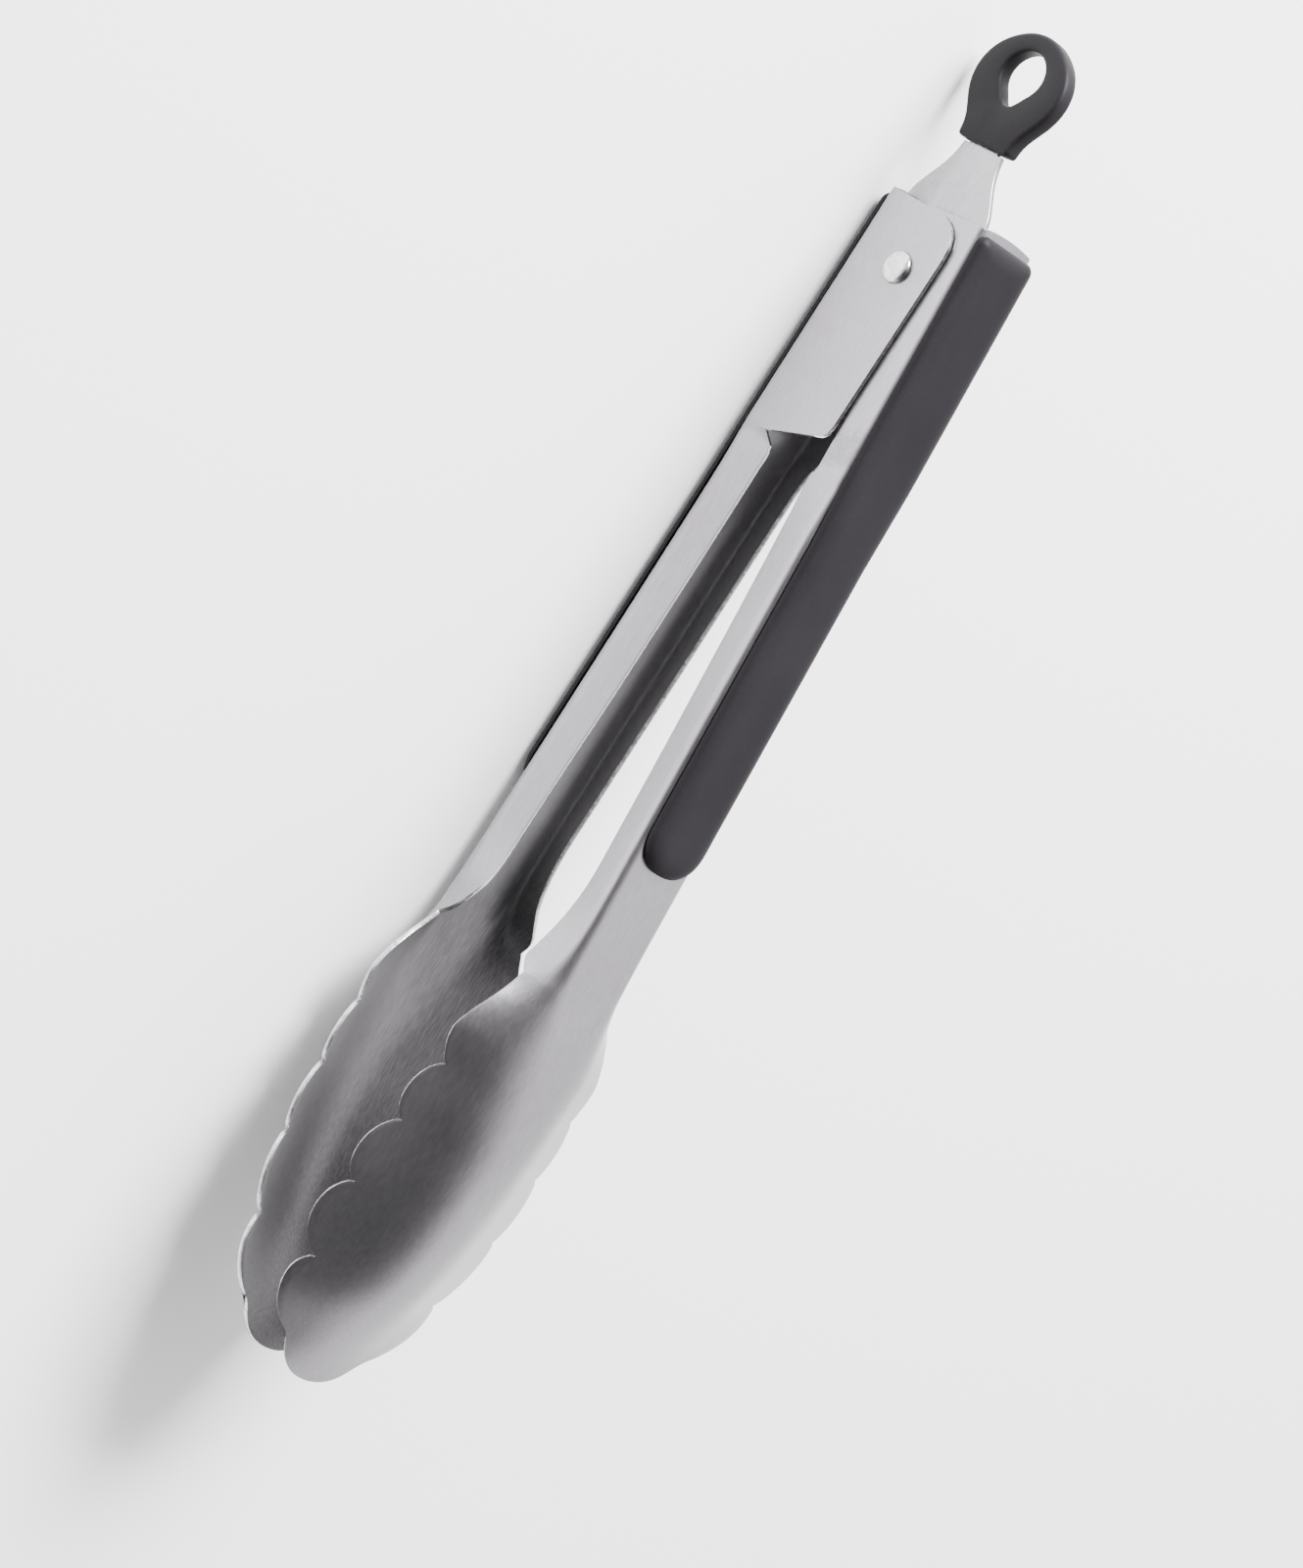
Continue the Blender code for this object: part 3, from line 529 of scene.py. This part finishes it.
def build_pad(name, x0, x1, wide, waist, angle, flip, body, node):
    """Grip pad: rounded corners at the hinge, blunt round nose towards the head, crowned over its edges."""
    corner, nose, edge_h, crown = 2.2, 8.5, 0.5, 4.4

    def side(x):
        return between([(38.0, wide), (58.0, waist)], x)

    def width(x):
        if x < x0 + corner:
            return side(x) - corner + math.sqrt(max(0.0, corner ** 2 - (x0 + corner - x) ** 2))
        if x > x1 - nose:
            t = (x - (x1 - nose)) / nose
            return side(x) * max(0.0, 1.0 - t ** 2.35) ** (1 / 2.35)
        return side(x)

    xs = [x0 + corner * (1 - math.cos(math.pi / 2 * i / 8)) for i in range(8)]
    xs += [x0 + corner + (crown + 1.0) * i / 8 for i in range(8)]
    run = x1 - nose - 2.0 - (x0 + corner + crown + 1.0)
    xs += [x0 + corner + crown + 1.0 + run * i / 28 for i in range(28)]
    xs += [x1 - nose - 2.0 + (nose + 2.0) * math.sin(math.pi / 2 * i / 26) for i in range(26)]
    xs += [x1 - 0.004]
    outline = [(x, width(x)) for x in xs] + [(x1, 0.0)]
    fine = []
    for (xa, _), (xb, _) in zip(outline, outline[1:]):
        n = 2 if xb - xa > 2 else 3
        fine += [(xa + (xb - xa) * i / n, width(min(x1, xa + (xb - xa) * i / n))) for i in range(n)]
    across = [math.sin(math.pi / 2 * i / 14) for i in range(15)]
    across = [-a for a in reversed(across[1:])] + across
    verts, rows = [], []
    for x in xs:
        row = []
        for a in across:
            v = width(x) * a
            d = min([math.hypot(x - px, abs(v) - pw) for px, pw in fine if abs(px - x) < crown + 4]
                    + [x - x0, side(x) - abs(v)])
            k = max(0.0, min(1.0, d / crown))
            h = edge_h + (PAD_T - 0.006 - edge_h) * (1.0 - (1.0 - k) ** 2.1) ** (1 / 2.1)
            row.append(len(verts))
            verts.append(Vector((x, v, -PAD_GAP - h)))
        rows.append(row)
    base = len(verts)
    verts += [Vector((p.x, p.y, -PAD_GAP)) for p in verts]
    faces = []
    n, m = len(rows), len(across)
    for i in range(n - 1):
        for j in range(m - 1):
            q = (rows[i][j], rows[i + 1][j], rows[i + 1][j + 1], rows[i][j + 1])
            faces += [q, tuple(base + k for k in reversed(q))]
        for j in (0, m - 1):
            a, b = rows[i][j], rows[i + 1][j]
            faces.append((a, b, base + b, base + a))
    for i in (0, n - 1):
        for j in range(m - 1):
            a, b = rows[i][j], rows[i][j + 1]
            faces.append((a, b, base + b, base + a))
    mesh = bpy.data.meshes.new(name)
    mesh.from_pydata([v * MM for v in verts], [], faces)
    turn(mesh, angle, flip)
    finish_mesh(name, mesh, [GRIP_RUBBER], body, node, angle=50.0)


build_pad("outer_grip_pad", OUTER_END + PAD_SETBACK, PAD_END, OUTER_PAD - 0.4, OUTER_PAD - 0.6, 0.0, False,
          "outer_arm", "outer_grip")
build_pad("inner_grip_pad", INNER_END + PAD_SETBACK, PAD_END, INNER_PAD, INNER_PAD - 0.7, ARM_ANGLE, True,
          "inner_arm", "inner_grip")


def lathe(name, profile, closed, mats, body, node, n=96, angle=30.0, bevel=0.0):
    """Solid of revolution round the pin."""
    verts, faces, rings = [], [], []
    for r, v in profile:
        if r == 0.0:
            rings.append([len(verts)] * n)
            verts.append(Vector((0.0, v, 0.0)))
            continue
        rings.append(list(range(len(verts), len(verts) + n)))
        verts += [Vector((r * math.cos(2 * math.pi * k / n), v, r * math.sin(2 * math.pi * k / n)))
                  for k in range(n)]
    pairs = list(zip(rings, rings[1:] + rings[:1])) if closed else list(zip(rings, rings[1:]))
    for low, high in pairs:
        for k in range(n):
            m = (k + 1) % n
            faces.append(tuple(dict.fromkeys((low[k], low[m], high[m], high[k]))))
    mesh = bpy.data.meshes.new(name)
    mesh.from_pydata([v * MM for v in verts], [], faces)
    turn(mesh, 0.0, None)
    return finish_mesh(name, mesh, mats, body, node, bevel, angle)


def arc(cx, cv, r, a0, a1, n):
    return [(cx + r * math.cos(math.radians(a0 + (a1 - a0) * i / n)),
             cv + r * math.sin(math.radians(a0 + (a1 - a0) * i / n))) for i in range(n + 1)]


FACE = OUTER_HALF[0][1] + 0.08
dome = [(3.55 * math.sin(a) ** 0.9, -FACE - 0.32 - 1.28 * math.cos(a) ** 0.85)
        for a in (math.pi / 2 * i / 14 for i in range(15))]
dome[0] = (0.0, -FACE - 1.6)
curl = arc(2.55, FACE + 0.12, 0.83, -8.0, 188.0, 18)
shank = [(3.5, -FACE - 0.08), (3.3, -FACE), (2.40, -FACE), (2.40, FACE), (3.25, FACE)]
hollow = [(1.70, 9.6), (1.70, 6.9), (1.45, 6.5), (0.0, 6.1)]
lathe("hinge_rivet", dome + shank + curl + hollow, False, [RIVET_STEEL], "outer_arm", "pivot_rivet",
      angle=38.0)
tube = [(2.46, -7.45), (2.6, -7.6), (3.45, -7.6), (3.6, -7.45)]
tube += [(r, -v) for r, v in reversed(tube)]
lathe("hinge_sleeve", tube, True, [SLEEVE_STEEL], "sleeve", "rivet_sleeve")

# ---------------------------------------------------------------- spring
COIL_R, WIRE_R, COIL_TURNS, COIL_LOW, COIL_HIGH = 6.6, 0.85, 5, -4.3, 6.9


def leg_points(side, angle):
    rest = HALF_BOX - SHEET - WIRE_R - 0.2
    a = math.radians(angle)

    def swing(x, z):
        return Vector((x * math.cos(a) - z * math.sin(a), x * math.sin(a) + z * math.cos(a)))

    near, far = swing(23.0, side * rest), swing(31.0, side * rest)
    return math.atan2(near.y, near.x) + side * math.acos(COIL_R / near.length), near, far


def smooth_corner(a, b, c, reach, n=8):
    """Round the corner at b with a short curve."""
    p, q = b + (a - b).normalized() * reach, b + (c - b).normalized() * reach
    return [p * (1 - t) ** 2 + b * 2 * t * (1 - t) + q * t ** 2 for t in (i / n for i in range(n + 1))]


def build_spring():
    phi_in, near_in, far_in = leg_points(1, ARM_ANGLE)
    phi_out, near_out, far_out = leg_points(-1, 0.0)
    sweep = (phi_out % (2 * math.pi)) - phi_in + 2 * math.pi * COIL_TURNS
    steps = 56 * COIL_TURNS
    coil = []
    for i in range(steps + 1):
        t = i / steps
        phi = phi_in + sweep * t
        rise = COIL_LOW + (COIL_HIGH - COIL_LOW) * t
        coil.append(Vector((COIL_R * math.cos(phi), rise, COIL_R * math.sin(phi))))
    fi, ni = Vector((far_in.x, COIL_LOW, far_in.y)), Vector((near_in.x, COIL_LOW, near_in.y))
    no, fo = Vector((near_out.x, COIL_HIGH, near_out.y)), Vector((far_out.x, COIL_HIGH, far_out.y))
    path = [fi] + smooth_corner(fi, ni, coil[0], 2.5) + coil + smooth_corner(coil[-1], no, fo, 2.5) + [fo]
    sides = 18
    verts, faces = [], []
    for i, p in enumerate(path):
        d = (path[min(i + 1, len(path) - 1)] - path[max(i - 1, 0)]).normalized()
        side = d.cross(Vector((0.0, 1.0, 0.0))).normalized()
        lift = side.cross(d).normalized()
        for k in range(sides):
            a = 2 * math.pi * k / sides
            verts.append(p + (side * math.cos(a) + lift * math.sin(a)) * WIRE_R)
    for i in range(len(path) - 1):
        for k in range(sides):
            m = (k + 1) % sides
            faces.append((i * sides + k, i * sides + m, (i + 1) * sides + m, (i + 1) * sides + k))
    faces += [tuple(reversed(range(sides))), tuple(range((len(path) - 1) * sides, len(path) * sides))]
    mesh = bpy.data.meshes.new("wire")
    mesh.from_pydata([v * MM for v in verts], [], faces)
    turn(mesh, 0.0, None)
    obj = finish_mesh("spring_wire", mesh, [SPRING_STEEL], None, None, bevel=0.2, angle=40.0)
    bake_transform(obj)
    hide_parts("torsion_spring")


build_spring()

# ---------------------------------------------------------------- lock tab and hanging loop
TAB_V, TAB_T = -5.9, 1.0
TAB_COLLAR, TAB_MOUTH, TAB_WIDE = -29.6, -15.3, 12.2


def mirror(half_outline):
    return half_outline + [(x, -z) for x, z in reversed(half_outline) if abs(z) > 1e-6]


def prism(outline, v0, v1):
    n = len(outline)
    verts = [Vector((x, v, z)) * MM for v in (v0, v1) for x, z in outline]
    faces = [(i, (i + 1) % n, n + (i + 1) % n, n + i) for i in range(n)]
    faces += [tuple(reversed(range(n))), tuple(range(n, 2 * n))]
    mesh = bpy.data.meshes.new("plate")
    mesh.from_pydata(verts, [], faces)
    bm = bmesh.new()
    bm.from_mesh(mesh)
    bmesh.ops.recalc_face_normals(bm, faces=bm.faces)
    bm.to_mesh(mesh)
    bm.free()
    obj = bpy.data.objects.new("plate", mesh)
    bpy.context.scene.collection.objects.link(obj)
    return obj


def soften(points, rounds=3):
    """Round a closed outline by cutting its corners."""
    for _ in range(rounds):
        n = len(points)
        cut_points = []
        for i in range(n):
            a, b = Vector(points[i]), Vector(points[(i + 1) % n])
            cut_points += [tuple(a * 0.75 + b * 0.25), tuple(a * 0.25 + b * 0.75)]
        points = cut_points
    return points


flank = [(TAB_COLLAR, 6.0), (-27.6, 6.35), (-25.4, 7.05), (-23.2, 8.1), (-21.2, 9.3), (-19.2, 10.55),
         (-17.2, 11.6), (TAB_MOUTH, TAB_WIDE)]
flank_x = [TAB_COLLAR + (TAB_MOUTH - TAB_COLLAR) * i / 40 for i in range(41)]
flank_fine = [(x, smooth(flank, x)) for x in flank_x]
tab_half = [(-38.0, 0.0), (-38.0, 3.6), (-37.2, 4.5), (TAB_COLLAR - 0.2, 4.5), (TAB_COLLAR - 0.2, 6.0)]
tab_half += flank_fine + [(-13.2, TAB_WIDE), (-12.3, 11.9), (-11.6, 11.3), (-7.0, 7.4)]
tab_half += [(8.0, 7.0), (9.3, 6.2), (9.8, 5.2), (9.8, 0.0)]
tab = prism(mirror(tab_half), TAB_V - TAB_T / 2, TAB_V + TAB_T / 2)
slot_outline = arc(2.2, 0.0, 3.9, -90, 90, 32) + arc(-10.4, 0.0, 3.9, 90, 270, 32)
cut(tab, prism(slot_outline, -8.0, -4.0))
tab_mesh = tab.data
bpy.data.objects.remove(tab, do_unlink=True)
turn(tab_mesh, ARM_ANGLE / 2, None)
finish_mesh("tab_plate", tab_mesh, [TAB_STEEL], "lock", "lock_tab", bevel=0.14)

ring_half = [(-30.1, 0.0), (-30.1, 7.1), (-30.8, 7.8), (-32.4, 7.9), (-34.6, 8.6), (-36.8, 10.0),
             (-39.4, 11.7), (-42.2, 12.8), (-45.2, 13.1), (-48.4, 12.4), (-51.4, 10.5), (-53.8, 7.6),
             (-55.6, 3.9), (-56.2, 0.0)]
hole_half = [(-39.6, 0.0), (-39.7, 1.1), (-40.6, 2.2), (-42.4, 3.6), (-44.2, 5.1), (-46.4, 5.8), (-48.6, 5.4),
             (-50.5, 4.1), (-51.8, 2.1), (-52.2, 0.0)]


def build_loop():
    """Moulded rubber: a thick plate with rounded edges, its corners all soft."""
    round_edge = ((0.9, -2.0), (0.44, -1.86), (0.14, -1.55), (0.0, -1.05))
    layers = round_edge + tuple((inset, -v) for inset, v in reversed(round_edge))
    outer = soften(mirror(ring_half), 2)
    hole = soften(mirror(hole_half), 2)

    def offset(points, d):
        n = len(points)
        out = []
        for i in range(n):
            a, b = Vector(points[i - 1]), Vector(points[(i + 1) % n])
            t = (b - a).normalized()
            out.append((points[i][0] + t.y * d, points[i][1] - t.x * d))
        return out

    area = sum(a[0] * b[1] - b[0] * a[1] for a, b in zip(outer, outer[1:] + outer[:1]))
    inward = -1.0 if area > 0 else 1.0
    bm = bmesh.new()
    rings = []
    for points, sign in ((outer, inward), (hole, -inward)):
        stack = []
        for inset, v in layers:
            ring = [bm.verts.new(Vector((x, TAB_V + v, z)) * MM) for x, z in offset(points, inset * sign)]
            stack.append(ring)
        n = len(points)
        for low, high in zip(stack, stack[1:]):
            for i in range(n):
                bm.faces.new((low[i], low[(i + 1) % n], high[(i + 1) % n], high[i]))
        rings.append(stack)
    for layer in (0, -1):
        edges = []
        for stack in rings:
            ring = stack[layer]
            for i in range(len(ring)):
                edges.append(bm.edges.get((ring[i], ring[(i + 1) % len(ring)])))
        bmesh.ops.triangle_fill(bm, use_beauty=True, use_dissolve=False, edges=edges)
    bmesh.ops.recalc_face_normals(bm, faces=bm.faces)
    mesh = bpy.data.meshes.new("loop")
    bm.to_mesh(mesh)
    bm.free()
    turn(mesh, ARM_ANGLE / 2, None)
    finish_mesh("loop_ring", mesh, [LOOP_RUBBER], "lock", "hang_loop", angle=55.0)


build_loop()


# ---------------------------------------------------------------- floor, light, camera
def studio():
    floor_mat, nodes, links, bsdf = new_material("studio_floor")
    bsdf.inputs["Base Color"].default_value = (0.93, 0.93, 0.93, 1.0)
    bsdf.inputs["Roughness"].default_value = 0.9
    mesh = bpy.data.meshes.new("floor")
    size, level = 3.0, -0.0004
    corners = [(-size, -size, level), (size, -size, level), (size, size, level), (-size, size, level)]
    mesh.from_pydata(corners, [], [(0, 1, 2, 3)])
    mesh.materials.append(floor_mat)
    floor = bpy.data.objects.new("floor", mesh)
    bpy.context.scene.collection.objects.link(floor)

    # Room: bright all round, with one large dim area high on the near side for the steel to mirror
    world = bpy.data.worlds.new("studio")
    world.use_nodes = True
    nodes, links = world.node_tree.nodes, world.node_tree.links
    background = nodes["Background"]
    coord = nodes.new("ShaderNodeTexCoord")
    dim = nodes.new("ShaderNodeVectorMath")
    dim.operation = "DOT_PRODUCT"
    dim.inputs[1].default_value = Vector((0.35, -0.42, 0.84)).normalized()
    links.new(coord.outputs["Generated"], dim.inputs[0])
    tone = nodes.new("ShaderNodeValToRGB")
    stops = tone.color_ramp.elements
    stops[0].position, stops[0].color = 0.0, (1.0, 1.0, 1.0, 1.0)
    stops[1].position, stops[1].color = 1.0, (0.05, 0.05, 0.055, 1.0)
    for place, level in ((0.40, 0.95), (0.66, 0.45), (0.82, 0.10), (0.92, 0.055)):
        stops.new(place).color = (level, level, level * 1.01, 1.0)
    links.new(dim.outputs["Value"], tone.inputs["Fac"])
    links.new(tone.outputs["Color"], background.inputs["Color"])
    background.inputs["Strength"].default_value = 2.4
    bpy.context.scene.world = world

    def softbox(name, place, target, width, height, power, colour=(1.0, 1.0, 1.0)):
        light = bpy.data.lights.new(name, "AREA")
        light.shape, light.size, light.size_y = "RECTANGLE", width, height
        light.energy, light.color = power, colour
        obj = bpy.data.objects.new(name, light)
        obj.location = place
        obj.rotation_euler = (Vector(target) - Vector(place)).to_track_quat("-Z", "Y").to_euler()
        bpy.context.scene.collection.objects.link(obj)

    softbox("hinge_side", (-1.45, 0.0, 1.0), (0.0, 0.0, 0.02), 1.0, 0.8, 190.0)

    camera = bpy.data.cameras.new("camera")
    camera.lens, camera.sensor_width = 132.0, 36.0
    camera.clip_end = 20.0
    obj = bpy.data.objects.new("camera", camera)
    place, target = Vector((-66.35, -843.15, 848.94)) * MM, Vector((14.8, 0.2, 27.6)) * MM
    look = (target - place).to_track_quat("-Z", "Y").to_matrix().to_4x4()
    obj.matrix_world = Matrix.Translation(place) @ look @ Matrix.Rotation(math.radians(126.4), 4, "Z")
    bpy.context.scene.collection.objects.link(obj)
    bpy.context.scene.camera = obj


studio()
